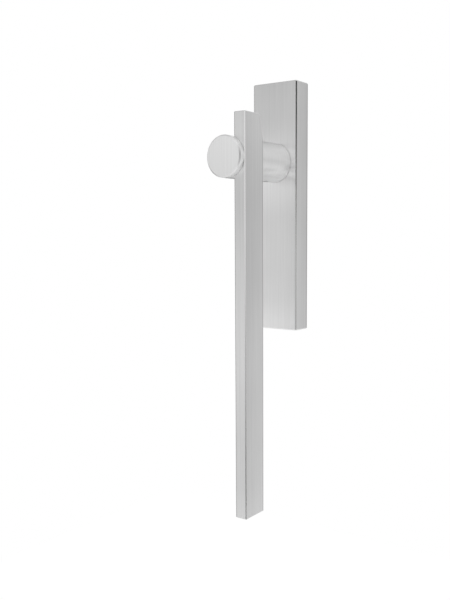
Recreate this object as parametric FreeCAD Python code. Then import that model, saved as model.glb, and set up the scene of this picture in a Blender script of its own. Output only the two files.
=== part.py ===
"""Lift-and-slide patio door handle: a long lever bar on a turned hub, on a tall box backplate.

Millimetres. The origin is the hub axis on the door's face: +X right, +Y into the door, +Z up.
"""
import FreeCAD, Part
import math
import os

from FreeCAD import Vector

# Backplate
PLATE_WIDTH = 40.0
PLATE_ABOVE_AXIS = 61.0
PLATE_BELOW_AXIS = 129.0
PLATE_THICKNESS = 16.0
COVER_WALL = 2.0
COVER_EDGE_BREAK = 0.8

# Base plate inside the cover
BASE_THICKNESS = 3.0
BASE_SIDE_GAP = 0.3
BASE_CORNER_RADIUS = 1.5
BOSS_WALL = 3.5
RIB_THICKNESS = 2.0
RIB_HEIGHT = 4.0
FIXING_SPACING = 80.0
FIXING_HOLE_DIAMETER = 6.5
FIXING_PAD_WALL = 3.5
FIXING_PAD_HEIGHT = 1.0
LUG_WIDTH = 14.0
LUG_LENGTH = 7.0
LUG_FRONT_GAP = 2.0

# Hub and its bearing
HUB_DIAMETER = 30.0
HUB_PROJECTION = 80.0
HUB_RIM_BREAK = 0.9
HUB_BACK_BREAK = 0.2
SPIGOT_DIAMETER = 20.0
SPIGOT_END_INSET = 1.5
RUNNING_CLEARANCE = 0.05
AXIAL_CLEARANCE = 0.1
SEAT_CLEARANCE = 0.05
BUSH_WALL = 1.5
BUSH_FLANGE_THICKNESS = 1.0
BUSH_FLANGE_INSET = 1.0
BUSH_FLANGE_SINK = 0.6
COVER_HOLE_CLEARANCE = 0.2
WASHER_THICKNESS = 1.0
WASHER_RIM = 2.5
RING_THICKNESS = 1.2
RING_LAND = 1.2
RING_GROOVE_DEPTH = 0.6
RING_RIM = 1.9
RING_GAP_WIDTH = 5.0
RING_EYE_DIAMETER = 1.6
RING_EYE_WALL = 0.9
RING_RECESS_CLEARANCE = 0.5

# Spindle socket in the hub
SPINDLE_SQUARE = 10.0
SPINDLE_CLEARANCE = 0.05
SPINDLE_DEPTH = 38.0
PILOT_EXTRA_DEPTH = 4.0
SET_SCREW_DIAMETER = 6.0
SET_SCREW_FROM_WALL = 30.0
SET_SCREW_SINK = 1.4
SET_SCREW_TIP_GAP = 0.5
SET_SCREW_KEY = 3.0

# Lever bar
BAR_LEFT = 6.0
BAR_THICKNESS = 9.5
BAR_DEPTH = 22.0
BAR_FRONT = 75.0
BAR_ABOVE_AXIS = 31.0
BAR_BELOW_AXIS = 262.0
BAR_EDGE_BREAK = 0.4
BAR_FRONT_BREAK = 0.65
BAR_FRONT_BREAK_DEPTH = 0.45
BAR_SLOT_CLEARANCE = 0.15
BAR_SLANT_DEPTH = 4.0
BAR_SLANT_HEIGHT = 19.0

# Screws that hold the bar in the hub
BAR_SCREW_DIAMETER = 4.0
BAR_SCREW_HEAD_DIAMETER = 7.0
BAR_SCREW_HEAD_HEIGHT = 4.0
BAR_SCREW_PITCH = 13.0
BAR_SCREW_SINK = 0.4
BAR_SCREW_KEY = 3.0
BAR_HOLE_FLOOR = 2.5
BAR_HOLE_SPARE = 1.0

# Screws that hold the cover on the base plate
COVER_SCREW_DIAMETER = 4.0
COVER_SCREW_LENGTH = 8.0
COVER_SCREW_SINK = 0.6
COVER_SCREW_KEY = 2.0
COVER_SCREW_HOLE_CLEARANCE = 0.2

# Clearances and proportions shared by the screws
THREAD_CLEARANCE = 0.05
THROUGH_CLEARANCE = 0.2
KEY_DEPTH = 2.2

# Places worked out from the sizes above
HUB_RADIUS = HUB_DIAMETER / 2
SPIGOT_RADIUS = SPIGOT_DIAMETER / 2
COVER_INSIDE = PLATE_THICKNESS - COVER_WALL
BUSH_RADIUS = SPIGOT_RADIUS + RUNNING_CLEARANCE + BUSH_WALL
FLANGE_RADIUS = HUB_RADIUS - BUSH_FLANGE_INSET
FLANGE_SEAT = PLATE_THICKNESS - BUSH_FLANGE_SINK
BUSH_FRONT = FLANGE_SEAT + BUSH_FLANGE_THICKNESS
HUB_BACK = BUSH_FRONT + AXIAL_CLEARANCE
RING_BACK = SPIGOT_END_INSET + RING_LAND
RING_FRONT = RING_BACK + RING_THICKNESS
WASHER_FRONT = RING_FRONT + WASHER_THICKNESS
BUSH_BACK = WASHER_FRONT + AXIAL_CLEARANCE
WASHER_RADIUS = SPIGOT_RADIUS + WASHER_RIM
RECESS_RADIUS = WASHER_RADIUS + RING_RECESS_CLEARANCE
BOSS_RADIUS = BUSH_RADIUS + SEAT_CLEARANCE + BOSS_WALL
BAR_RIGHT = BAR_LEFT + BAR_THICKNESS
BAR_BACK = BAR_FRONT - BAR_DEPTH
BAR_MIDDLE = (BAR_FRONT + BAR_BACK) / 2
SOCKET_HALF = SPINDLE_SQUARE / 2 + SPINDLE_CLEARANCE
COVER_SCREW_FROM_WALL = (BASE_THICKNESS + COVER_INSIDE - LUG_FRONT_GAP) / 2

X_AXIS = Vector(1, 0, 0)
INTO_DOOR = Vector(0, 1, 0)
UP = Vector(0, 0, 1)


def block(x_range, wall_range, z_range):
    """A box between two values on each axis, with depth counted out from the door's face."""
    near, far = wall_range
    size = (x_range[1] - x_range[0], far - near, z_range[1] - z_range[0])
    return Part.makeBox(*size, Vector(x_range[0], -far, z_range[0]))


def rod(radius, wall_range, x=0.0, z=0.0):
    """A cylinder that points out from the door, between two distances from the door's face."""
    near, far = wall_range
    return Part.makeCylinder(radius, far - near, Vector(x, -far, z), INTO_DOOR)


def turned(outline):
    """A solid turned about the hub axis from (radius, distance from the door) points."""
    points = [Vector(radius, -out, 0) for radius, out in outline]
    face = Part.Face(Part.makePolygon(points + points[:1]))
    return face.revolve(Vector(0, 0, 0), INTO_DOOR, 360)


def hex_key(across_flats, depth, mouth, inward):
    """The hexagonal hole for a key, from its mouth inwards."""
    corner = across_flats / math.sqrt(3)
    side = inward.cross(X_AXIS if abs(inward.x) < 0.5 else UP)
    other = inward.cross(side)
    angles = [math.radians(60 * i) for i in range(6)]
    points = [mouth + side * (corner * math.cos(a)) + other * (corner * math.sin(a)) for a in angles]
    return Part.Face(Part.makePolygon(points + points[:1])).extrude(inward * depth)


def grub_screw(diameter, length, key, mouth, inward):
    """A headless screw with a key hole at its mouth and a cone at its tip."""
    radius = diameter / 2 - THREAD_CLEARANCE
    tip = radius / 3
    shank = Part.makeCylinder(radius, length - tip, mouth, inward)
    cone = Part.makeCone(radius, radius - tip, tip, mouth + inward * (length - tip), inward)
    return shank.fuse(cone).removeSplitter().cut(hex_key(key, KEY_DEPTH, mouth, inward))


def bar_screw_seat():
    """Place of the bar screws' seats: their heads end below the round of the hub."""
    reach = BAR_SCREW_PITCH / 2 + BAR_SCREW_HEAD_DIAMETER / 2 + THROUGH_CLEARANCE
    surface = math.sqrt(HUB_RADIUS ** 2 - reach ** 2)
    return -(surface - BAR_SCREW_SINK - BAR_SCREW_HEAD_HEIGHT)


def bar_screw_places():
    """The points on the hub's mid plane that the bar screws pass through."""
    return [Vector(0, -BAR_MIDDLE, side * BAR_SCREW_PITCH / 2) for side in (-1, 1)]


def along_x(radius, start, end, place):
    """A cylinder along X through a place, from one X to another."""
    return Part.makeCylinder(radius, end - start, Vector(start, place.y, place.z), X_AXIS)


def cover_screw_ends():
    """For each end of the plate: the direction out of it and the distance from the axis."""
    return [(1, PLATE_ABOVE_AXIS), (-1, PLATE_BELOW_AXIS)]


def make_cover_plate():
    """The box cover: broken front edges, a hollow back, a sunk seat for the bush and holes for its screws."""
    half = PLATE_WIDTH / 2
    outer = block((-half, half), (0, PLATE_THICKNESS), (-PLATE_BELOW_AXIS, PLATE_ABOVE_AXIS))
    edges = [edge for edge in outer.Edges if edge.BoundBox.YMin < -PLATE_THICKNESS / 4]
    outer = outer.makeChamfer(COVER_EDGE_BREAK, edges)
    inner = half - COVER_WALL
    hollow = block((-inner, inner), (0, COVER_INSIDE),
                   (COVER_WALL - PLATE_BELOW_AXIS, PLATE_ABOVE_AXIS - COVER_WALL))
    cover = outer.cut(hollow)
    cover = cover.cut(rod(BUSH_RADIUS + COVER_HOLE_CLEARANCE, (0, PLATE_THICKNESS)))
    cover = cover.cut(rod(FLANGE_RADIUS + COVER_HOLE_CLEARANCE, (FLANGE_SEAT, PLATE_THICKNESS)))
    radius = COVER_SCREW_DIAMETER / 2 + COVER_SCREW_HOLE_CLEARANCE
    for sign, end in cover_screw_ends():
        mouth = Vector(0, -COVER_SCREW_FROM_WALL, sign * end)
        cover = cover.cut(Part.makeCylinder(radius, 2 * COVER_WALL, mouth, UP * -sign))
    return cover


def make_base_plate():
    """The cast plate behind the cover: bearing boss, side ribs, fixing pads and screw lugs."""
    half = PLATE_WIDTH / 2 - COVER_WALL - BASE_SIDE_GAP
    bottom = COVER_WALL + BASE_SIDE_GAP - PLATE_BELOW_AXIS
    top = PLATE_ABOVE_AXIS - COVER_WALL - BASE_SIDE_GAP
    plate = block((-half, half), (0, BASE_THICKNESS), (bottom, top))
    corners = [edge for edge in plate.Edges if edge.BoundBox.YLength > BASE_THICKNESS / 2]
    plate = plate.makeFillet(BASE_CORNER_RADIUS, corners)
    inset = BASE_CORNER_RADIUS
    for sign in (-1, 1):
        span = sorted((sign * half, sign * (half - RIB_THICKNESS)))
        plate = plate.fuse(block(span, (0, BASE_THICKNESS + RIB_HEIGHT), (bottom + inset, top - inset)))
        pad = rod(FIXING_HOLE_DIAMETER / 2 + FIXING_PAD_WALL, (0, BASE_THICKNESS + FIXING_PAD_HEIGHT),
                  z=sign * FIXING_SPACING / 2)
        plate = plate.fuse(pad)
    lug_range = (0, COVER_INSIDE - LUG_FRONT_GAP)
    lug_half = LUG_WIDTH / 2
    plate = plate.fuse(block((-lug_half, lug_half), lug_range, (top - LUG_LENGTH, top)))
    plate = plate.fuse(block((-lug_half, lug_half), lug_range, (bottom, bottom + LUG_LENGTH)))
    plate = plate.fuse(rod(BOSS_RADIUS, (0, COVER_INSIDE))).removeSplitter()
    plate = plate.cut(rod(BUSH_RADIUS + SEAT_CLEARANCE, (0, COVER_INSIDE)))
    plate = plate.cut(rod(RECESS_RADIUS, (0, BUSH_BACK)))
    for sign, end in cover_screw_ends():
        hole = rod(FIXING_HOLE_DIAMETER / 2, (0, PLATE_THICKNESS), z=sign * FIXING_SPACING / 2)
        mouth = Vector(0, -COVER_SCREW_FROM_WALL, sign * end)
        thread = Part.makeCylinder(COVER_SCREW_DIAMETER / 2, COVER_WALL + 2 * LUG_LENGTH, mouth, UP * -sign)
        plate = plate.cut(hole).cut(thread)
    return plate


def make_bearing_bush():
    """The flanged bush that the hub's spigot turns in; its flange is the thin ring before the plate."""
    bore = SPIGOT_RADIUS + RUNNING_CLEARANCE
    return turned([(bore, BUSH_BACK), (BUSH_RADIUS, BUSH_BACK), (BUSH_RADIUS, FLANGE_SEAT),
                   (FLANGE_RADIUS, FLANGE_SEAT), (FLANGE_RADIUS, BUSH_FRONT), (bore, BUSH_FRONT)])


def make_thrust_washer():
    """The flat washer between the bush and the retaining ring."""
    bore = SPIGOT_RADIUS + SEAT_CLEARANCE
    return turned([(bore, RING_FRONT), (WASHER_RADIUS, RING_FRONT),
                   (WASHER_RADIUS, WASHER_FRONT), (bore, WASHER_FRONT)])


def make_retaining_ring():
    """The open spring ring in the spigot's groove, with an eye at each end for the pliers."""
    inner = SPIGOT_RADIUS - RING_GROOVE_DEPTH + SEAT_CLEARANCE
    span = (RING_BACK, RING_FRONT)
    ring = rod(SPIGOT_RADIUS + RING_RIM, span)
    eye_radius = RING_EYE_DIAMETER / 2 + RING_EYE_WALL
    eye_out = WASHER_RADIUS - eye_radius
    lean = math.asin((RING_GAP_WIDTH / 2 + eye_radius) / eye_out)
    eyes = [(side * eye_out * math.sin(lean), eye_out * math.cos(lean)) for side in (-1, 1)]
    for x, z in eyes:
        ring = ring.fuse(rod(eye_radius, span, x, z))
    ring = ring.removeSplitter().cut(rod(inner, span))
    for x, z in eyes:
        ring = ring.cut(rod(RING_EYE_DIAMETER / 2, span, x, z))
    half_gap = RING_GAP_WIDTH / 2
    return ring.cut(block((-half_gap, half_gap), span, (0, 2 * SPIGOT_DIAMETER)))


def make_hub():
    """The turned hub: spigot with ring groove, square spindle socket, and the slot for the bar."""
    groove = SPIGOT_RADIUS - RING_GROOVE_DEPTH
    hub = turned([(0, SPIGOT_END_INSET), (SPIGOT_RADIUS, SPIGOT_END_INSET),
                  (SPIGOT_RADIUS, RING_BACK - SEAT_CLEARANCE), (groove, RING_BACK - SEAT_CLEARANCE),
                  (groove, RING_FRONT), (SPIGOT_RADIUS, RING_FRONT),
                  (SPIGOT_RADIUS, HUB_BACK), (HUB_RADIUS - HUB_BACK_BREAK, HUB_BACK),
                  (HUB_RADIUS, HUB_BACK + HUB_BACK_BREAK), (HUB_RADIUS, HUB_PROJECTION - HUB_RIM_BREAK),
                  (HUB_RADIUS - HUB_RIM_BREAK, HUB_PROJECTION), (0, HUB_PROJECTION)])
    slot = (BAR_BACK - BAR_SLOT_CLEARANCE, BAR_FRONT + BAR_SLOT_CLEARANCE)
    hub = hub.cut(block((BAR_LEFT, HUB_DIAMETER), slot, (-HUB_DIAMETER, HUB_DIAMETER)))
    socket_end = SPIGOT_END_INSET + SPINDLE_DEPTH
    socket = (-SOCKET_HALF, SOCKET_HALF)
    hub = hub.cut(block(socket, (0, socket_end), socket))
    hub = hub.cut(rod(SOCKET_HALF, (0, socket_end + PILOT_EXTRA_DEPTH)))
    mouth = Vector(0, -SET_SCREW_FROM_WALL, -HUB_RADIUS)
    hub = hub.cut(Part.makeCylinder(SET_SCREW_DIAMETER / 2, HUB_RADIUS, mouth, UP))
    seat = bar_screw_seat()
    for place in bar_screw_places():
        head = BAR_SCREW_HEAD_DIAMETER / 2 + THROUGH_CLEARANCE
        hub = hub.cut(along_x(head, -HUB_DIAMETER, seat, place))
        hub = hub.cut(along_x(BAR_SCREW_DIAMETER / 2 + THROUGH_CLEARANCE, seat, BAR_LEFT, place))
    return hub


def bar_front_break(edge, inward):
    """The strip taken off one long front edge of the bar, wider on its front than on its side."""
    front = Vector(edge + inward * BAR_FRONT_BREAK, -BAR_FRONT, -BAR_BELOW_AXIS)
    side = Vector(edge, BAR_FRONT_BREAK_DEPTH - BAR_FRONT, -BAR_BELOW_AXIS)
    clear = Vector(edge - inward * BAR_FRONT_BREAK, -BAR_FRONT - BAR_FRONT_BREAK_DEPTH, -BAR_BELOW_AXIS)
    face = Part.Face(Part.makePolygon([front, side, clear, front]))
    return face.extrude(UP * (BAR_BELOW_AXIS + BAR_ABOVE_AXIS))


def make_lever_bar():
    """The flat lever bar: eased edges, a slanted back at its short end and two threaded holes."""
    outline = [(BAR_FRONT, BAR_ABOVE_AXIS), (BAR_BACK + BAR_SLANT_DEPTH, BAR_ABOVE_AXIS),
               (BAR_BACK, BAR_ABOVE_AXIS - BAR_SLANT_HEIGHT), (BAR_BACK, -BAR_BELOW_AXIS),
               (BAR_FRONT, -BAR_BELOW_AXIS)]
    points = [Vector(BAR_LEFT, -out, z) for out, z in outline]
    bar = Part.Face(Part.makePolygon(points + points[:1])).extrude(X_AXIS * BAR_THICKNESS)
    bar = bar.makeChamfer(BAR_EDGE_BREAK, bar.Edges)
    for edge, inward in ((BAR_LEFT, 1), (BAR_RIGHT, -1)):
        bar = bar.cut(bar_front_break(edge, inward))
    for place in bar_screw_places():
        bar = bar.cut(along_x(BAR_SCREW_DIAMETER / 2, BAR_LEFT, BAR_RIGHT - BAR_HOLE_FLOOR, place))
    return bar


def make_bar_screws():
    """The cap screws that draw the bar against the floor of the hub's slot."""
    seat = bar_screw_seat()
    end = BAR_RIGHT - BAR_HOLE_FLOOR - BAR_HOLE_SPARE
    screws = []
    for place in bar_screw_places():
        top = seat - BAR_SCREW_HEAD_HEIGHT
        head = along_x(BAR_SCREW_HEAD_DIAMETER / 2, top, seat, place)
        shank = along_x(BAR_SCREW_DIAMETER / 2 - THREAD_CLEARANCE, seat, end, place)
        mouth = Vector(top, place.y, place.z)
        screws.append(head.fuse(shank).cut(hex_key(BAR_SCREW_KEY, KEY_DEPTH, mouth, X_AXIS)))
    return Part.makeCompound(screws)


def make_spindle_set_screw():
    """The headless screw under the hub that clamps the door's spindle."""
    mouth = Vector(0, -SET_SCREW_FROM_WALL, SET_SCREW_SINK - HUB_RADIUS)
    length = HUB_RADIUS - SET_SCREW_SINK - SOCKET_HALF - SET_SCREW_TIP_GAP
    return grub_screw(SET_SCREW_DIAMETER, length, SET_SCREW_KEY, mouth, UP)


def make_cover_set_screws():
    """The headless screws in the base plate's lugs, turned out into the ends of the cover."""
    screws = []
    for sign, end in cover_screw_ends():
        mouth = Vector(0, -COVER_SCREW_FROM_WALL, sign * (end - COVER_SCREW_SINK))
        inward = UP * -sign
        screws.append(grub_screw(COVER_SCREW_DIAMETER, COVER_SCREW_LENGTH, COVER_SCREW_KEY, mouth, inward))
    return Part.makeCompound(screws)


PIECES = {
    "cover_plate": make_cover_plate,
    "base_plate": make_base_plate,
    "bearing_bush": make_bearing_bush,
    "thrust_washer": make_thrust_washer,
    "retaining_ring": make_retaining_ring,
    "hub": make_hub,
    "lever_bar": make_lever_bar,
    "bar_screws": make_bar_screws,
    "spindle_set_screw": make_spindle_set_screw,
    "cover_set_screws": make_cover_set_screws,
}

os.makedirs("parts", exist_ok=True)
for name, make in PIECES.items():
    shape = make()
    shape.exportStep(f"parts/{name}.step")
    print(name, len(shape.Solids), "solids", round(shape.Volume, 1), "mm3", "valid", shape.isValid())
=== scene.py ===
"""Looks of a lift-and-slide patio door handle: satin stainless steel before a white studio sweep.

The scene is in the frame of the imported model: +X right, +Y into the door, +Z up, with the origin where the
hub's axis meets the door's face. Lengths are in metres, or in millimetres where a name ends in _mm.
"""
import logging
import math
from dataclasses import dataclass
from enum import Enum
from typing import Any

import bmesh
import bpy
from mathutils import Matrix, Vector


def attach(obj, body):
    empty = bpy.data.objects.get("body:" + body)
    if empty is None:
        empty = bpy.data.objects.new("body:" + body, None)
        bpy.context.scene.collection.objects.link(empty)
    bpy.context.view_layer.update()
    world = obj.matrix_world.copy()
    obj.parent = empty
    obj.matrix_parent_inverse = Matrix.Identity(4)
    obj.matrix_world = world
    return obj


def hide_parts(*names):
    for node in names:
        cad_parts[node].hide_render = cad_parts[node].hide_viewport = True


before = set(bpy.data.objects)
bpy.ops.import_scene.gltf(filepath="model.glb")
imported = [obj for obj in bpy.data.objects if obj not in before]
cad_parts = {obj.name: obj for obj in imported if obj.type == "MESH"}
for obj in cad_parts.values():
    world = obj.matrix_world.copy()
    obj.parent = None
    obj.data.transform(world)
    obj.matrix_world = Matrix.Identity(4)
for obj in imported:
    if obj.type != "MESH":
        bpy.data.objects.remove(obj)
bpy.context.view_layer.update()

log = logging.getLogger("patio_door_handle")

MM = 0.001
PHOTO_SIZE_PX = (450, 600)
SMOOTH_BELOW_DEG = 35.0
MERGE_MM = 0.001
# A face looks straight out from the door where its normal's Y lies below this.
FRONT_BELOW = -0.9
# An edge is broken where its normal reaches this along none of the frame's directions.
SQUARE_FROM = 0.92
# The usual lowest and highest value of a fine noise, of two of them added up, of a slow noise and of a sine.
NOISE_RANGE = (0.3, 0.7)
NOISE_SUM_RANGE = (0.5, 1.5)
CLOUD_RANGE = (0.25, 0.75)
SINE_RANGE = (-1.0, 1.0)
QUARTER_TURN = 0.25
HEXAGON_SIDES = 6

Point = tuple[float, float, float]
Tree = bpy.types.NodeTree
Socket = bpy.types.NodeSocket
Shape = bmesh.types.BMesh
Ring = list[bmesh.types.BMEdge]


class Body(Enum):
    """The two bodies of the handle, by their names in the model."""

    PLATE = "plate"
    LEVER = "lever"


class Grain(Enum):
    """Which way the brushing runs on a surface."""

    UPRIGHT = "up the door, on every side"
    TURNED = "round the hub, and up the door on its flat end"


def linear(hex_colour: str) -> tuple[float, float, float, float]:
    """Turn an sRGB hex colour into linear values.

    Args:
        hex_colour: six hex digits, with or without a leading hash.

    Returns:
        Linear red, green and blue, and an alpha of one.
    """
    digits = hex_colour.lstrip("#")
    channels = [int(digits[i:i + 2], 16) / 255 for i in (0, 2, 4)]
    red, green, blue = (c / 12.92 if c <= 0.04045 else ((c + 0.055) / 1.055) ** 2.4 for c in channels)
    return red, green, blue, 1.0


def add_node(tree: Tree, kind: str, values: dict[Any, Any] | None = None,
             **settings: Any) -> bpy.types.Node:
    """Add a node, give it its settings, and fill or link its inputs.

    Args:
        tree: the node tree to add to.
        kind: the node's type name.
        values: input name or index to a constant, or to an output socket that is linked to it.
        settings: properties of the node itself.

    Returns:
        The new node.
    """
    node = tree.nodes.new(kind)
    for name, setting in settings.items():
        setattr(node, name, setting)
    for name, value in (values or {}).items():
        if isinstance(value, Socket):
            tree.links.new(value, node.inputs[name])
        else:
            node.inputs[name].default_value = value
    return node


def new_material(name: str) -> tuple[bpy.types.Material, Tree, bpy.types.Node]:
    """Make an empty node material.

    Args:
        name: the material's name.

    Returns:
        The material, its node tree and its output node.
    """
    material = bpy.data.materials.new(name)
    material.use_nodes = True
    tree = material.node_tree
    tree.nodes.clear()
    return material, tree, add_node(tree, "ShaderNodeOutputMaterial")


def about_one(tree: Tree, value: Socket, usual: tuple[float, float], contrast: float) -> Socket:
    """Turn a pattern into a factor near one.

    Args:
        tree: the material's node tree.
        value: the pattern.
        usual: the pattern's usual lowest and highest value.
        contrast: how far the factor goes from one at either end.

    Returns:
        The factor.
    """
    factor = add_node(tree, "ShaderNodeMapRange",
                      {"Value": value, "From Min": usual[0], "From Max": usual[1],
                       "To Min": 1 - contrast, "To Max": 1 + contrast})
    return factor.outputs["Result"]


def toned(tree: Tree, hex_colour: str, factors: list[Socket]) -> Socket:
    """Vary a colour by several patterns at once.

    Args:
        tree: the material's node tree.
        hex_colour: the colour that the patterns vary.
        factors: one factor near one for each pattern.

    Returns:
        The varied colour.
    """
    level = factors[0]
    for factor in factors[1:]:
        product = add_node(tree, "ShaderNodeMath", {0: level, 1: factor}, operation="MULTIPLY")
        level = product.outputs["Value"]
    return add_node(tree, "ShaderNodeVectorMath", {0: linear(hex_colour)[:3], "Scale": level},
                    operation="SCALE").outputs["Vector"]


@dataclass(frozen=True)
class PaintedShadingBand:
    """A band of painted shading on a front face, lighter where its change is above zero and darker where it
    is below: full at one height and gone at its reach.
    """

    height_mm: float
    reach_mm: float
    change: float


@dataclass(frozen=True)
class SatinSteel:
    """Stainless steel, ground and satin brushed: a soft mirror, drawn out across its fine lines, with
    painted light and painted shade in its colour.
    """

    name: str
    grain: Grain
    colour: str = "#dcdcdc"
    roughness: float = 0.36
    side_roughness: float = 0.36
    anisotropy: float = 0.6
    # Real brushing leaves lines of about 0.05 mm. They are drawn ten times as coarse, so that they show.
    fine_line_mm: float = 0.5
    broad_line_mm: float = 1.6
    line_length_mm: float = 90.0
    line_contrast: float = 0.07
    line_detail: float = 2.0
    line_roughness: float = 0.55
    wear_contrast: float = 0.1
    bump_strength: float = 0.06
    bump_mm: float = 0.05
    cloud_mm: float = 45.0
    cloud_contrast: float = 0.03
    cloud_detail: float = 1.0
    edge_roughness: float = 0.36
    # Painted shade on the broken edges, as a change to their colour.
    painted_edge_shade: float = 0.0
    # A slow wave of tone up the piece. On the plate it is painted shade at the top and painted light lower
    # down.
    drift_mm: float = 165.0
    drift_shift_mm: float = 11.0
    drift_contrast: float = 0.03
    # Bands of painted light and painted shade across the front.
    painted_shading_bands: tuple[PaintedShadingBand, ...] = ()
    # Painted shade across the sides between these depths, and a painted dark rim at their end towards the
    # door.
    fade_from_mm: float = -80.0
    fade_to_mm: float = 0.0
    painted_fade_contrast: float = 0.0
    rim_mm: float = 2.0
    painted_rim_shade: float = 0.0

    def stretched(self, tree: Tree, coords: Socket, width_mm: float, lengths_mm: Point) -> Socket:
        """Give noise that is drawn out along the brushing.

        Args:
            tree: the material's node tree.
            coords: the coordinates to start from.
            width_mm: width of one line.
            lengths_mm: how far a line runs in X, Y and Z, zero where that is across it.

        Returns:
            The noise's value.
        """
        scale = [1 / ((length or width_mm) * MM) for length in lengths_mm]
        mapped = add_node(tree, "ShaderNodeMapping", {"Vector": coords, "Scale": scale})
        noise = add_node(tree, "ShaderNodeTexNoise",
                         {"Vector": mapped.outputs["Vector"], "Scale": 1.0,
                          "Detail": self.line_detail, "Roughness": self.line_roughness})
        return noise.outputs["Fac"]

    def lines(self, tree: Tree, width_mm: float) -> Socket:
        """Give the brushed lines of one width.

        Args:
            tree: the material's node tree.
            width_mm: width of one line.

        Returns:
            A value about one half, darker or lighter from line to line.
        """
        coords = add_node(tree, "ShaderNodeTexCoord").outputs["Object"]
        length = self.line_length_mm
        upright = self.stretched(tree, coords, width_mm, (0, 0, length))
        if self.grain is Grain.UPRIGHT:
            return upright
        rings = self.stretched(tree, coords, width_mm, (length, 0, length))
        choice = add_node(tree, "ShaderNodeMix", {0: self.front(tree), 2: rings, 3: upright})
        return choice.outputs[0]

    def front(self, tree: Tree) -> Socket:
        """Find the faces that look straight away from the door.

        Args:
            tree: the material's node tree.

        Returns:
            One on such a face and zero elsewhere.
        """
        facing = add_node(tree, "ShaderNodeTexCoord").outputs["Normal"]
        outwards = add_node(tree, "ShaderNodeSeparateXYZ", {"Vector": facing}).outputs["Y"]
        straight = add_node(tree, "ShaderNodeMath", {0: outwards, 1: FRONT_BELOW}, operation="LESS_THAN")
        return straight.outputs["Value"]

    def drift(self, tree: Tree, height: Socket) -> Socket:
        """Give a slow wave of tone along the height of a piece. On the plate it is painted shade that
        darkens its top and painted light that brightens its lower part.

        Args:
            tree: the material's node tree.
            height: the place along the piece.

        Returns:
            The change, between minus one and one.
        """
        angle = add_node(tree, "ShaderNodeMapRange",
                         {"Value": height, "From Min": -self.drift_shift_mm * MM,
                          "From Max": (self.drift_mm - self.drift_shift_mm) * MM, "To Max": 2 * math.pi},
                         clamp=False)
        wave = add_node(tree, "ShaderNodeMath", {0: angle.outputs["Result"]}, operation="SINE")
        return wave.outputs["Value"]

    def bands(self, tree: Tree, height: Socket) -> list[Socket]:
        """Give the bands of painted light and painted shade on the front.

        Args:
            tree: the material's node tree.
            height: the place along the piece.

        Returns:
            One factor near one for each band.
        """
        factors = []
        for band in self.painted_shading_bands:
            away = add_node(tree, "ShaderNodeMath", {0: height, 1: band.height_mm * MM},
                            operation="SUBTRACT")
            apart = add_node(tree, "ShaderNodeMath", {0: away.outputs["Value"]}, operation="ABSOLUTE")
            change = add_node(tree, "ShaderNodeMapRange",
                              {"Value": apart.outputs["Value"],
                               "From Min": band.reach_mm * MM, "From Max": 0.0,
                               "To Min": 0.0, "To Max": band.change}, interpolation_type="SMOOTHSTEP")
            factor = add_node(tree, "ShaderNodeMath",
                              {0: change.outputs["Result"], 1: self.front(tree), 2: 1.0},
                              operation="MULTIPLY_ADD")
            factors.append(factor.outputs["Value"])
        return factors

    def painted_side_shade(self, tree: Tree, depth: Socket) -> Socket:
        """Give the painted shade across the sides, and the painted dark rim at their end towards the door.

        Args:
            tree: the material's node tree.
            depth: the place between the front and the door.

        Returns:
            A factor near one, and one on the front.
        """
        # Painted shade across the sides.
        change = add_node(tree, "ShaderNodeMapRange",
                          {"Value": depth,
                           "From Min": self.fade_from_mm * MM, "From Max": self.fade_to_mm * MM,
                           "To Min": -self.painted_fade_contrast, "To Max": self.painted_fade_contrast})
        # The painted dark rim at the end towards the door.
        rim = add_node(tree, "ShaderNodeMapRange",
                       {"Value": depth, "From Min": (self.fade_to_mm - self.rim_mm) * MM,
                        "From Max": self.fade_to_mm * MM, "To Min": 0.0, "To Max": -self.painted_rim_shade},
                       interpolation_type="SMOOTHSTEP")
        both = add_node(tree, "ShaderNodeMath", {0: change.outputs["Result"], 1: rim.outputs["Result"]},
                        operation="ADD")
        beside = add_node(tree, "ShaderNodeMath", {0: 1.0, 1: self.front(tree)}, operation="SUBTRACT")
        factor = add_node(tree, "ShaderNodeMath",
                          {0: both.outputs["Value"], 1: beside.outputs["Value"], 2: 1.0},
                          operation="MULTIPLY_ADD")
        return factor.outputs["Value"]

    def edge_breaks(self, tree: Tree) -> Socket:
        """Find the broken edges, which face along none of the frame's directions, nor squarely off the hub.

        Args:
            tree: the material's node tree.

        Returns:
            One on a broken edge and zero elsewhere.
        """
        facing = add_node(tree, "ShaderNodeTexCoord").outputs["Normal"]
        sizes = add_node(tree, "ShaderNodeVectorMath", {0: facing}, operation="ABSOLUTE")
        parts = add_node(tree, "ShaderNodeSeparateXYZ", {"Vector": sizes.outputs["Vector"]}).outputs
        across = parts["X"]
        if self.grain is Grain.TURNED:
            flat = add_node(tree, "ShaderNodeCombineXYZ", {"X": parts["X"], "Y": parts["Z"]})
            across = add_node(tree, "ShaderNodeVectorMath", {0: flat.outputs["Vector"]},
                              operation="LENGTH").outputs["Value"]
        most = add_node(tree, "ShaderNodeMath", {0: across, 1: parts["Y"]}, operation="MAXIMUM")
        if self.grain is Grain.UPRIGHT:
            most = add_node(tree, "ShaderNodeMath", {0: most.outputs["Value"], 1: parts["Z"]},
                            operation="MAXIMUM")
        between = add_node(tree, "ShaderNodeMath", {0: most.outputs["Value"], 1: SQUARE_FROM},
                           operation="LESS_THAN")
        return between.outputs["Value"]

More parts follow.
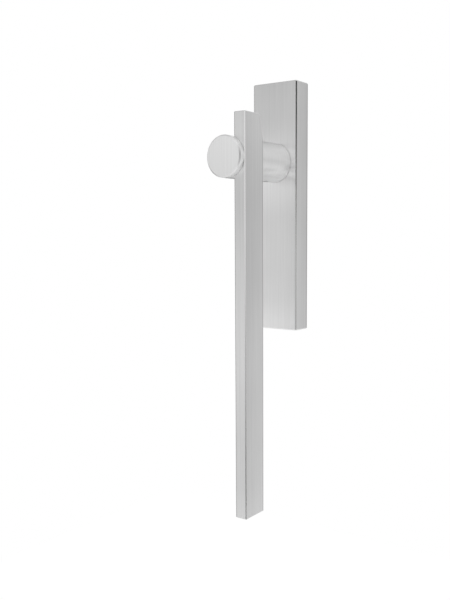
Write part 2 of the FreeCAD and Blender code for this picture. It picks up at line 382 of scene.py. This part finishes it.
    def material(self) -> bpy.types.Material:
        """Build the finish.

        Returns:
            The material, with brushed lines in its colour, roughness and bump, and painted light and painted
            shade in its colour.
        """
        material, tree, output = new_material(self.name)
        fine = self.lines(tree, self.fine_line_mm)
        broad = self.lines(tree, self.broad_line_mm)
        coords = add_node(tree, "ShaderNodeTexCoord").outputs["Object"]
        places = add_node(tree, "ShaderNodeSeparateXYZ", {"Vector": coords}).outputs
        height, depth = places["Z"], places["Y"]
        cloud = add_node(tree, "ShaderNodeTexNoise",
                         {"Vector": coords, "Scale": 1 / (self.cloud_mm * MM),
                          "Detail": self.cloud_detail}).outputs["Fac"]
        both = add_node(tree, "ShaderNodeMath", {0: fine, 1: broad}, operation="ADD").outputs["Value"]
        edges = self.edge_breaks(tree)
        # Painted shade on the broken edges.
        painted_edge_factor = add_node(tree, "ShaderNodeMath", {0: edges, 1: self.painted_edge_shade, 2: 1.0},
                             operation="MULTIPLY_ADD").outputs["Value"]
        # The colour also carries painted light and shade: the drift on the plate, the side shade and its
        # rim, the edge shade and the front bands.
        colour = toned(tree, self.colour,
                       [about_one(tree, both, NOISE_SUM_RANGE, self.line_contrast),
                        about_one(tree, cloud, CLOUD_RANGE, self.cloud_contrast),
                        about_one(tree, self.drift(tree, height), SINE_RANGE, self.drift_contrast),
                        self.painted_side_shade(tree, depth), painted_edge_factor, *self.bands(tree, height)])
        worn = about_one(tree, fine, NOISE_RANGE, self.wear_contrast)
        faces = add_node(tree, "ShaderNodeMix",
                         {0: self.front(tree), 2: self.side_roughness, 3: self.roughness})
        base = add_node(tree, "ShaderNodeMix", {0: edges, 2: faces.outputs[0], 3: self.edge_roughness})
        rough = add_node(tree, "ShaderNodeMath", {0: base.outputs[0], 1: worn}, operation="MULTIPLY")
        bump = add_node(tree, "ShaderNodeBump",
                        {"Height": fine, "Strength": self.bump_strength, "Distance": self.bump_mm * MM})
        along = add_node(tree, "ShaderNodeCombineXYZ", {"Z": 1.0})
        tangent = add_node(tree, "ShaderNodeVectorTransform", {"Vector": along.outputs["Vector"]},
                           vector_type="VECTOR", convert_from="OBJECT", convert_to="WORLD")
        shader = add_node(tree, "ShaderNodeBsdfPrincipled",
                          {"Base Color": colour, "Metallic": 1.0,
                           "Roughness": rough.outputs["Value"], "Normal": bump.outputs["Normal"],
                           "Anisotropic": self.anisotropy, "Anisotropic Rotation": QUARTER_TURN,
                           "Tangent": tangent.outputs["Vector"]})
        tree.links.new(shader.outputs["BSDF"], output.inputs["Surface"])
        return material


@dataclass(frozen=True)
class GrainedFinish:
    """One colour with a fine grain and slow clouds, for castings, mouldings and small hardware."""

    name: str
    colour: str
    metallic: float
    roughness: float
    grain_mm: float
    grain_contrast: float
    grain_height_mm: float
    cloud_mm: float = 14.0
    cloud_contrast: float = 0.05
    roughness_spread: float = 0.08
    detail: float = 2.0
    bump_strength: float = 0.5

    def material(self) -> bpy.types.Material:
        """Build the finish.

        Returns:
            The material, with the grain in its colour, roughness and bump.
        """
        material, tree, output = new_material(self.name)
        coords = add_node(tree, "ShaderNodeTexCoord").outputs["Object"]
        grain, cloud = (
            add_node(tree, "ShaderNodeTexNoise",
                     {"Vector": coords, "Scale": 1 / (size_mm * MM), "Detail": self.detail}).outputs["Fac"]
            for size_mm in (self.grain_mm, self.cloud_mm))
        colour = toned(tree, self.colour, [about_one(tree, grain, NOISE_RANGE, self.grain_contrast),
                                           about_one(tree, cloud, NOISE_RANGE, self.cloud_contrast)])
        rough = add_node(tree, "ShaderNodeMapRange",
                         {"Value": grain, "From Min": NOISE_RANGE[0], "From Max": NOISE_RANGE[1],
                          "To Min": self.roughness - self.roughness_spread,
                          "To Max": self.roughness + self.roughness_spread})
        bump = add_node(tree, "ShaderNodeBump",
                        {"Height": grain, "Strength": self.bump_strength,
                         "Distance": self.grain_height_mm * MM})
        shader = add_node(tree, "ShaderNodeBsdfPrincipled",
                          {"Base Color": colour, "Metallic": self.metallic,
                           "Roughness": rough.outputs["Result"], "Normal": bump.outputs["Normal"]})
        tree.links.new(shader.outputs["BSDF"], output.inputs["Surface"])
        return material


# Satin lines drawn up a solid bar: soft upright streaks, with crisp glints along the eased edges. A band of
# painted shade darkens its front below the hub. Painted shade darkens its sides towards the front, and a
# painted dark rim darkens its end towards the door.
BAR_STEEL = SatinSteel("brushed_stainless_bar", Grain.UPRIGHT, edge_roughness=0.13,
                       painted_shading_bands=(PaintedShadingBand(-38, 60, -0.08),),
                       fade_from_mm=-75.0, fade_to_mm=-53.0, painted_fade_contrast=0.045, painted_rim_shade=0.36)
# The same brushing on folded sheet, with softer glints along its edges. Painted shade darkens its upper part
# and painted light brightens its lower part. Bands of painted light lie round the hub and near its foot,
# with a faint band of painted shade between them. Painted shade darkens its sides towards the door, ending
# in a painted dark rim where it meets the door.
PLATE_STEEL = SatinSteel("brushed_stainless_plate", Grain.UPRIGHT, colour="#dbdbdb", edge_roughness=0.16,
                         drift_mm=380.0, drift_shift_mm=190.0, drift_contrast=0.06,
                         painted_shading_bands=(PaintedShadingBand(-6, 42, 0.20), PaintedShadingBand(2, 18, 0.09),
                                      PaintedShadingBand(-80, 30, -0.03), PaintedShadingBand(-125, 25, 0.10)),
                         fade_from_mm=-16.0, fade_to_mm=0.0, painted_fade_contrast=-0.04, painted_rim_shade=0.36)
# Turned and bead blasted: a paler, mistier mirror with faint rings round it. Its wall is smoother than its
# flat end. Painted shade darkens its broken edges, including the rim between wall and flat end. A faint
# painted shade leaves its wall lighter at the flat end and darker from the bar back.
HUB_STEEL = SatinSteel("turned_stainless_steel", Grain.TURNED, colour="#efefef", roughness=0.45,
                       side_roughness=0.36, edge_roughness=0.4, painted_edge_shade=-0.16, anisotropy=0.0,
                       fade_from_mm=-80.0, fade_to_mm=-56.0, painted_fade_contrast=-0.035)
# Cast in a die and blasted: an even pale grey with a sandy sparkle. Its grit of 0.2 mm is drawn as 1.4 mm,
# so that it shows.
CAST_BASE = GrainedFinish("blasted_cast_aluminium", "#bfc1c2", metallic=1.0, roughness=0.55,
                          grain_mm=1.4, grain_contrast=0.16, grain_height_mm=0.4)
# Moulded in a polished tool: near white, with a waxy soft shine and hardly any grain.
PALE_ACETAL = GrainedFinish("moulded_natural_acetal", "#e0e0df", metallic=0.0, roughness=0.42,
                            grain_mm=0.8, grain_contrast=0.02, grain_height_mm=0.01, cloud_contrast=0.02)
# Turned from plain steel bar: darker than the satin pieces, with a fine speckle from a film of cutting oil.
PLAIN_STEEL = GrainedFinish("plain_turned_steel", "#9f9f9f", metallic=1.0, roughness=0.35,
                            grain_mm=0.5, grain_contrast=0.06, grain_height_mm=0.02, cloud_mm=6.0)


def dress(node: str, material: bpy.types.Material) -> None:
    """Give a CAD node its finish.

    Args:
        node: name of the node.
        material: its finish, for every face.
    """
    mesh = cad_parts[node].data
    mesh.materials.clear()
    mesh.materials.append(material)
    log.info("%s: %s", node, material.name)


def add_piece(shape: Shape, name: str, body: Body, node: str,
              material: bpy.types.Material) -> None:
    """Turn a finished shape into a piece that stands for a CAD node.

    Args:
        shape: the shape in metres, in its place; it is freed.
        name: the piece's name.
        body: the body that it moves with.
        node: the CAD node that it replaces.
        material: its finish.
    """
    bmesh.ops.remove_doubles(shape, verts=shape.verts, dist=MERGE_MM * MM)
    bmesh.ops.recalc_face_normals(shape, faces=shape.faces)
    for face in shape.faces:
        face.smooth = True
    mesh = bpy.data.meshes.new(name)
    shape.to_mesh(mesh)
    shape.free()
    mesh.set_sharp_from_angle(angle=math.radians(SMOOTH_BELOW_DEG))
    mesh.materials.append(material)
    piece = bpy.data.objects.new(name, mesh)
    bpy.context.collection.objects.link(piece)
    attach(piece, body.value)
    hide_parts(node)
    log.info("%s: %d faces, %s", name, len(mesh.polygons), material.name)


@dataclass(frozen=True)
class SocketScrew:
    """A screw with a cut thread and a socket for a hexagonal key, with a round head or none."""

    diameter_mm: float
    length_mm: float
    pitch_mm: float
    key_mm: float
    key_depth_mm: float = 2.2
    head_diameter_mm: float = 0.0
    head_height_mm: float = 0.0
    plain_mm: float = 0.0
    rim_break_mm: float = 0.25
    point_mm: float = 0.65
    clearance_mm: float = 0.05
    # Shares of the pitch: the thread's depth, its stop short of either end, half its ridge and its run-out.
    thread_depth: float = 0.6
    thread_stop: float = 0.6
    half_ridge: float = 0.45
    run_out: float = 0.25
    # The drilled point under the key: its tip as a share of its rim, and its depth as a share of the key.
    drill_tip: float = 0.2
    drill_depth: float = 1 / 6
    sides: int = 48
    sides_of_thread: int = 24

    @property
    def crest_mm(self) -> float:
        """Radius over the thread."""
        return self.diameter_mm / 2 - self.clearance_mm

    @property
    def core_mm(self) -> float:
        """Radius under the thread."""
        return self.crest_mm - self.thread_depth * self.pitch_mm

    def profile(self) -> list[tuple[float, float]]:
        """List the radius and the depth at each step from the rim of the mouth to the tip.

        Returns:
            The steps in millimetres, the first of them at the mouth.
        """
        core, crest = self.core_mm, self.crest_mm
        tip = [(core, self.length_mm - self.point_mm), (core - self.point_mm / 2, self.length_mm)]
        if not self.head_diameter_mm:
            ease = self.rim_break_mm / 2
            return [(core - ease, 0), (core, ease), *tip]
        head = self.head_diameter_mm / 2
        plain_end = self.head_height_mm + self.plain_mm
        return [(head - self.rim_break_mm, 0), (head, self.rim_break_mm), (head, self.head_height_mm),
                (crest, self.head_height_mm), (crest, plain_end),
                (core, plain_end + self.pitch_mm * self.run_out), *tip]

    @staticmethod
    def drawn_on(shape: Shape, ring: Ring, scale: float, rise_mm: float) -> Ring:
        """Draw a ring of edges on along the screw, wider or narrower than before.

        Args:
            shape: the shape that the ring is part of.
            ring: the edges.
            scale: the new radius over the old one.
            rise_mm: how far the new ring lies beyond the old one.

        Returns:
            The edges of the new ring.
        """
        made = bmesh.ops.extrude_edge_only(shape, edges=ring)["geom"]
        verts = {item for item in made if isinstance(item, bmesh.types.BMVert)}
        bmesh.ops.scale(shape, vec=(scale, scale, 1), verts=list(verts))
        bmesh.ops.translate(shape, vec=(0, 0, rise_mm * MM), verts=list(verts))
        return [item for item in made
                if isinstance(item, bmesh.types.BMEdge) and verts.issuperset(item.verts)]

    def turn_blank(self, shape: Shape) -> None:
        """Make the screw without its thread: the key's socket, the rim, the head and the shank.

        Args:
            shape: an empty shape to make it in, along +Z from its mouth at the origin.
        """
        steps = self.profile()
        rim = bmesh.ops.create_circle(shape, segments=self.sides, radius=steps[0][0] * MM)["verts"]
        outer = list({edge for vert in rim for edge in vert.link_edges})
        corner_mm = self.key_mm / math.sqrt(3)
        key = bmesh.ops.create_circle(shape, segments=HEXAGON_SIDES, radius=corner_mm * MM)["verts"]
        flats = list({edge for vert in key for edge in vert.link_edges})
        bmesh.ops.subdivide_edges(shape, edges=flats, cuts=self.sides // HEXAGON_SIDES - 1)
        socket = [edge for edge in shape.edges if edge not in set(outer)]
        bmesh.ops.bridge_loops(shape, edges=outer + socket)
        floor = self.drawn_on(shape, socket, 1.0, self.key_depth_mm)
        point = self.drawn_on(shape, floor, self.drill_tip, self.key_mm * self.drill_depth)
        bmesh.ops.contextual_create(shape, geom=point)
        ring = outer
        for (radius, depth), (next_radius, next_depth) in zip(steps, steps[1:]):
            ring = self.drawn_on(shape, ring, next_radius / radius, next_depth - depth)
        bmesh.ops.contextual_create(shape, geom=ring)

    def cut_thread(self, shape: Shape) -> None:
        """Wind the thread's ridge round the shank.

        Args:
            shape: the shape to add it to.
        """
        stop = self.pitch_mm * self.thread_stop
        start = self.head_height_mm + self.plain_mm + stop
        turns = (self.length_mm - self.point_mm - stop - start) / self.pitch_mm
        root = self.core_mm - self.clearance_mm
        half = self.pitch_mm * self.half_ridge
        places = ((root, start - half), (self.crest_mm, start), (root, start + half))
        ridge = [shape.verts.new((radius * MM, 0, depth * MM)) for radius, depth in places]
        sides = [shape.edges.new((ridge[i - 1], ridge[i])) for i in range(len(ridge))]
        shape.faces.new(ridge)
        steps = round(turns * self.sides_of_thread)
        wound = bmesh.ops.spin(shape, geom=ridge + sides, cent=(0, 0, 0), axis=(0, 0, 1),
                               dvec=(0, 0, self.pitch_mm / self.sides_of_thread * MM),
                               angle=2 * math.pi * steps / self.sides_of_thread, steps=steps)["geom_last"]
        last = [item for item in wound if isinstance(item, bmesh.types.BMVert)]
        bmesh.ops.contextual_create(shape, geom=last)

    def add_to(self, shape: Shape, mouth_mm: Point, inward: Point) -> None:
        """Put one such screw in its hole.

        Args:
            shape: the shape to add it to.
            mouth_mm: the middle of its outer end.
            inward: the direction from there into the hole.
        """
        screw = bmesh.new()
        self.turn_blank(screw)
        self.cut_thread(screw)
        turn = Vector((0, 0, 1)).rotation_difference(Vector(inward)).to_matrix().to_4x4()
        place = Matrix.Translation(Vector(mouth_mm) * MM) @ turn
        bmesh.ops.transform(screw, matrix=place, verts=screw.verts)
        made = bpy.data.meshes.new("screw")
        screw.to_mesh(made)
        screw.free()
        shape.from_mesh(made)
        bpy.data.meshes.remove(made)


@dataclass
class Backplate:
    """The fixed half on the door: the brushed cover, the cast base in it and the screws in its ends."""

    top_mm: float = 61.0
    bottom_mm: float = -129.0
    screw_from_door_mm: float = 7.5
    screw_sink_mm: float = 0.6
    screw: SocketScrew = SocketScrew(diameter_mm=4.0, length_mm=8.0, pitch_mm=0.7, key_mm=2.0)

    def build_screws(self) -> Shape:
        """Make the headless screw in each end of the cover.

        Returns:
            Both screws as one shape.
        """
        shape = bmesh.new()
        depth = -self.screw_from_door_mm
        self.screw.add_to(shape, (0, depth, self.top_mm - self.screw_sink_mm), (0, 0, -1))
        self.screw.add_to(shape, (0, depth, self.bottom_mm + self.screw_sink_mm), (0, 0, 1))
        return shape

    def build(self, steel: bpy.types.Material) -> None:
        """Dress the cover and the base, and fit the screws.

        Args:
            steel: the finish of the screws.
        """
        dress("cover_plate", PLATE_STEEL.material())
        dress("base_plate", CAST_BASE.material())
        add_piece(self.build_screws(), "cover_grub_screws", Body.PLATE, "cover_set_screws",
                  steel)


@dataclass
class Bearing:
    """What the lever turns in: the flanged bush, and the washer and spring ring that keep the hub."""

    # Radii, and then distances from the door's face.
    bore_mm: float = 10.05
    barrel_mm: float = 11.55
    flange_mm: float = 14.0
    lip_mm: float = 14.8
    back_mm: float = 5.0
    seat_mm: float = 15.4
    lip_back_mm: float = 16.03
    front_mm: float = 16.4
    lip_break_mm: float = 0.1
    sides: int = 96

    def build_bush(self) -> Shape:
        """Turn the bush, whose thin lip is the faint ring where the hub meets the plate.

        Returns:
            The bush.
        """
        lip, front, ease = self.lip_mm, self.front_mm, self.lip_break_mm
        outline = ((self.bore_mm, self.back_mm), (self.barrel_mm, self.back_mm),
                   (self.barrel_mm, self.seat_mm), (self.flange_mm, self.seat_mm),
                   (self.flange_mm, self.lip_back_mm), (lip, self.lip_back_mm),
                   (lip, front - ease), (lip - ease, front), (self.bore_mm, front))
        shape = bmesh.new()
        corners = [shape.verts.new((radius * MM, -out * MM, 0)) for radius, out in outline]
        sides = [shape.edges.new((corners[i - 1], corners[i])) for i in range(len(corners))]
        bmesh.ops.spin(shape, geom=corners + sides, cent=(0, 0, 0), axis=(0, 1, 0), angle=2 * math.pi,
                       steps=self.sides, use_merge=True)
        return shape

    def build(self, steel: bpy.types.Material) -> None:
        """Fit the bush, and dress the washer and the ring.

        Args:
            steel: the finish of the washer and the ring.
        """
        add_piece(self.build_bush(), "flanged_bush", Body.PLATE, "bearing_bush",
                  PALE_ACETAL.material())
        dress("thrust_washer", steel)
        dress("retaining_ring", steel)


@dataclass
class Lever:
    """The moving half: the turned hub, the long bar let into it, and the screws in the hub."""

    bar_screw_from_door_mm: float = 64.0
    bar_screw_up_mm: float = 6.5
    bar_screw_mouth_mm: float = -10.6
    bar_screw: SocketScrew = SocketScrew(diameter_mm=4.0, length_mm=22.6, pitch_mm=0.7, key_mm=3.0,
                                         head_diameter_mm=7.0, head_height_mm=4.0, plain_mm=12.4)
    spindle_screw_from_door_mm: float = 30.0
    spindle_screw_mouth_mm: float = -13.6
    spindle_screw: SocketScrew = SocketScrew(diameter_mm=6.0, length_mm=8.05, pitch_mm=1.0, key_mm=3.0)

    def build_bar_screws(self) -> Shape:
        """Make the two cap screws that draw the bar into its slot.

        Returns:
            Both screws as one shape.
        """
        shape = bmesh.new()
        for up in (self.bar_screw_up_mm, -self.bar_screw_up_mm):
            mouth = (self.bar_screw_mouth_mm, -self.bar_screw_from_door_mm, up)
            self.bar_screw.add_to(shape, mouth, (1, 0, 0))
        return shape

    def build_spindle_screw(self) -> Shape:
        """Make the headless screw under the hub that clamps the door's spindle.

        Returns:
            The screw.
        """
        shape = bmesh.new()
        mouth = (0, -self.spindle_screw_from_door_mm, self.spindle_screw_mouth_mm)
        self.spindle_screw.add_to(shape, mouth, (0, 0, 1))
        return shape

    def build(self, steel: bpy.types.Material) -> None:
        """Dress the hub and the bar, and fit the screws.

        Args:
            steel: the finish of the screws.
        """
        dress("hub", HUB_STEEL.material())
        dress("lever_bar", BAR_STEEL.material())
        add_piece(self.build_bar_screws(), "bar_cap_screws", Body.LEVER, "bar_screws",
                  steel)
        add_piece(self.build_spindle_screw(), "spindle_grub_screw", Body.LEVER, "spindle_set_screw",
                  steel)


def heading(azimuth_deg: float, elevation_deg: float) -> Point:
    """Give the unit vector from the handle towards a place in the studio.

    Args:
        azimuth_deg: zero straight out from the door, growing towards +X.
        elevation_deg: above the horizon.

    Returns:
        The vector.
    """
    azimuth, elevation = math.radians(azimuth_deg), math.radians(elevation_deg)
    return (math.sin(azimuth) * math.cos(elevation), -math.cos(azimuth) * math.cos(elevation),
            math.sin(elevation))


@dataclass(frozen=True)
class Panel:
    """A card or flag that only reflections show: a soft patch, brighter or darker than the white."""

    name: str
    azimuth_deg: float
    elevation_deg: float
    core_deg: float
    edge_deg: float
    change: float


@dataclass(frozen=True)
class SoftBox:
    """A square lamp behind a diffuser, turned towards the handle."""

    name: str
    azimuth_deg: float
    elevation_deg: float
    distance: float
    size: float
    radiance: float

    def build(self) -> None:
        """Hang the lamp, with its power worked out from its size and the brightness of its face."""
        towards = Vector(heading(self.azimuth_deg, self.elevation_deg))
        data = bpy.data.lights.new(self.name, "AREA")
        data.shape = "SQUARE"
        data.size = self.size
        data.energy = self.radiance * math.pi * self.size ** 2
        lamp = bpy.data.objects.new(self.name, data)
        lamp.matrix_world = (Matrix.Translation(towards * self.distance)
                             @ towards.to_track_quat("Z", "Y").to_matrix().to_4x4())
        bpy.context.collection.objects.link(lamp)


@dataclass
class Studio:
    """The camera, the white sweep and the light tent round the handle."""

    # The camera as fitted to the photograph: its place, its turn, and its lens and axis in pixels.
    eye: Point = (0.32971, -0.49683, -0.05340)
    yaw_deg: float = 33.629
    pitch_deg: float = -5.471
    roll_deg: float = 0.089
    focal_px: float = 744.495
    axis_px: tuple[float, float] = (285.0, 304.0)
    sensor_mm: float = 36.0
    clip_start: float = 0.01
    floor_drop: float = 1.0
    floor_size: float = 3.0
    # The floor to the camera and in reflections: its glow, and the grey that takes the shadow.
    floor_glow: float = 0.86
    floor_shade: float = 0.18
    # The floor as it lights matt surfaces: its colour, and a little glow.
    floor_colour: str = "#e6e6e6"
    floor_reflected_glow: float = 0.10
    # The tent's brightness as it lights matt surfaces, and as the white of the background.
    tent_level: float = 0.82
    white_level: float = 1.0
    # Each with its azimuth, elevation, core and outer edge in degrees, and its change to the white.
    panels: tuple[Panel, ...] = (
        Panel("shade_left", -45, 5, 60, 95, -0.18),
        Panel("shade_right", 145, 5, 60, 95, -0.18),
        Panel("flag_high_left", -36, 32, 5, 26, -0.30),
        Panel("card_low_left", -33, -8, 2, 12, 0.20),
        Panel("flag_below_left", -33, -28, 7, 15, -0.30),
        Panel("flag_far_left", -116, 0, 15, 38, -0.74),
        Panel("flag_behind_left", -150, -16, 14, 30, -0.48),
        Panel("flag_ceiling_left", -80, 56, 10, 30, -0.22),
        Panel("shade_behind_right", 145, 5, 20, 60, -0.09),
        Panel("flag_behind_right", 145, 2, 0, 9, -0.28),
        Panel("card_low_behind_right", 147, -23, 5, 11, 0.20),
        Panel("flag_low_behind", 163, -29, 5, 11, -0.75),
        Panel("card_front_right", 30, 6, 6, 20, 0.08),
        Panel("flag_below_right", 41, -21, 7, 12, -0.84),
        Panel("flag_mid_right", 42, -10, 5, 11, -0.84),
        Panel("flag_high_right", 57, 16, 6, 19, -0.95),
        Panel("flag_low_right", 58, -8, 4, 13, -0.50),
    )
    soft_boxes: tuple[SoftBox, ...] = (
        SoftBox("key_soft_box", azimuth_deg=5, elevation_deg=48, distance=1.5, size=0.9, radiance=0.3),
        SoftBox("low_fill_soft_box", azimuth_deg=6, elevation_deg=-36, distance=1.2, size=0.8, radiance=0.4),
    )

    def place_camera(self) -> None:
        """Set the camera at the photograph's viewing angle."""
        yaw, pitch, roll = (math.radians(a) for a in (self.yaw_deg, self.pitch_deg, self.roll_deg))
        forward = Vector((-math.sin(yaw) * math.cos(pitch), math.cos(yaw) * math.cos(pitch),
                          math.sin(pitch)))
        level = Vector((math.cos(yaw), math.sin(yaw), 0))
        upright = level.cross(forward)
        right = level * math.cos(roll) + upright * math.sin(roll)
        up = upright * math.cos(roll) - level * math.sin(roll)
        data = bpy.data.cameras.new("camera")
        data.sensor_fit = "VERTICAL"
        data.sensor_height = self.sensor_mm
        data.lens = self.focal_px * self.sensor_mm / PHOTO_SIZE_PX[1]
        data.shift_x = (PHOTO_SIZE_PX[0] / 2 - self.axis_px[0]) / PHOTO_SIZE_PX[1]
        data.shift_y = (self.axis_px[1] - PHOTO_SIZE_PX[1] / 2) / PHOTO_SIZE_PX[1]
        data.clip_start = self.clip_start
        camera = bpy.data.objects.new("camera", data)
        turn = Matrix((right, up, -forward)).transposed().to_4x4()
        camera.matrix_world = Matrix.Translation(self.eye) @ turn
        bpy.context.collection.objects.link(camera)
        bpy.context.scene.camera = camera

    @staticmethod
    def white_to(tree: Tree) -> tuple[Socket, Socket]:
        """Tell the rays that meet the white background from those that light matt surfaces.

        Args:
            tree: the node tree of the world or the floor.

        Returns:
            One for the camera's rays and for those that metal or glass passes on, and then one for the
            latter alone.
        """
        path = add_node(tree, "ShaderNodeLightPath").outputs
        passed_on = add_node(tree, "ShaderNodeMath",
                             {0: path["Is Glossy Ray"], 1: path["Is Transmission Ray"]},
                             operation="ADD", use_clamp=True).outputs["Value"]
        either = add_node(tree, "ShaderNodeMath", {0: path["Is Camera Ray"], 1: passed_on},
                          operation="ADD", use_clamp=True).outputs["Value"]
        return either, passed_on

    def light(self) -> None:
        """Fill the room with a soft light tent, which is white to the camera and in reflections."""
        world = bpy.data.worlds.new("light_tent")
        world.use_nodes = True
        tree = world.node_tree
        tree.nodes.clear()
        towards = add_node(tree, "ShaderNodeTexCoord").outputs["Generated"]
        cards: Any = 0.0
        for panel in self.panels:
            centre = heading(panel.azimuth_deg, panel.elevation_deg)
            facing = add_node(tree, "ShaderNodeVectorMath", {0: towards, 1: centre},
                              operation="DOT_PRODUCT")
            patch = add_node(tree, "ShaderNodeMapRange",
                             {"Value": facing.outputs["Value"],
                              "From Min": math.cos(math.radians(panel.edge_deg)),
                              "From Max": math.cos(math.radians(panel.core_deg)),
                              "To Min": 0.0, "To Max": panel.change},
                             interpolation_type="SMOOTHSTEP", label=panel.name)
            cards = add_node(tree, "ShaderNodeMath", {0: cards, 1: patch.outputs["Result"]},
                             operation="ADD").outputs["Value"]
        white, passed_on = self.white_to(tree)
        plain = add_node(tree, "ShaderNodeMix", {0: white, 2: self.tent_level, 3: self.white_level})
        level = add_node(tree, "ShaderNodeMath", {0: cards, 1: passed_on, 2: plain.outputs[0]},
                         operation="MULTIPLY_ADD")
        strength = add_node(tree, "ShaderNodeMath", {0: level.outputs["Value"], 1: 0.0},
                            operation="MAXIMUM")
        tent = add_node(tree, "ShaderNodeBackground",
                        {"Color": (1, 1, 1, 1), "Strength": strength.outputs["Value"]})
        add_node(tree, "ShaderNodeOutputWorld", {"Surface": tent.outputs["Background"]})
        bpy.context.scene.world = world

    @staticmethod
    def glowing(tree: Tree, colour: tuple[float, ...], strength: float) -> Socket:
        """Give a matt surface that also glows a little.

        Args:
            tree: the material's node tree.
            colour: linear colour of the matt part.
            strength: the glow's strength, where one is white.

        Returns:
            The shader.
        """
        matt = add_node(tree, "ShaderNodeBsdfDiffuse", {"Color": colour})
        glow = add_node(tree, "ShaderNodeEmission", {"Color": (1, 1, 1, 1), "Strength": strength})
        both = add_node(tree, "ShaderNodeAddShader",
                        {0: matt.outputs["BSDF"], 1: glow.outputs["Emission"]})
        return both.outputs["Shader"]

    def lay_floor(self) -> None:
        """Lay the pale floor well below the handle, where a door's floor would be."""
        mesh = bpy.data.meshes.new("floor")
        shape = bmesh.new()
        bmesh.ops.create_grid(shape, x_segments=1, y_segments=1, size=self.floor_size / 2)
        bmesh.ops.translate(shape, verts=shape.verts, vec=(0, 0, -self.floor_drop))
        shape.to_mesh(mesh)
        shape.free()
        floor = bpy.data.objects.new("floor", mesh)
        bpy.context.collection.objects.link(floor)
        material, tree, output = new_material("pale_floor")
        shade = self.floor_shade
        matt = self.glowing(tree, linear(self.floor_colour), self.floor_reflected_glow)
        white = self.glowing(tree, (shade, shade, shade, 1), self.floor_glow)
        seen = add_node(tree, "ShaderNodeMixShader", {0: self.white_to(tree)[0], 1: matt, 2: white})
        tree.links.new(seen.outputs["Shader"], output.inputs["Surface"])
        mesh.materials.append(material)

    def build(self) -> None:
        """Set up the whole studio."""
        bpy.context.scene.view_settings.view_transform = "Standard"
        self.place_camera()
        self.light()
        for soft_box in self.soft_boxes:
            soft_box.build()
        self.lay_floor()


def main() -> None:
    """Build the handle's sub-assemblies in order and set up its studio."""
    logging.basicConfig(level=logging.INFO, format="%(name)s: %(message)s")
    steel = PLAIN_STEEL.material()
    for assembly in (Backplate(), Bearing(), Lever()):
        log.info("%s", type(assembly).__name__)
        assembly.build(steel)
    Studio().build()


if __name__ == "__main__":
    main()
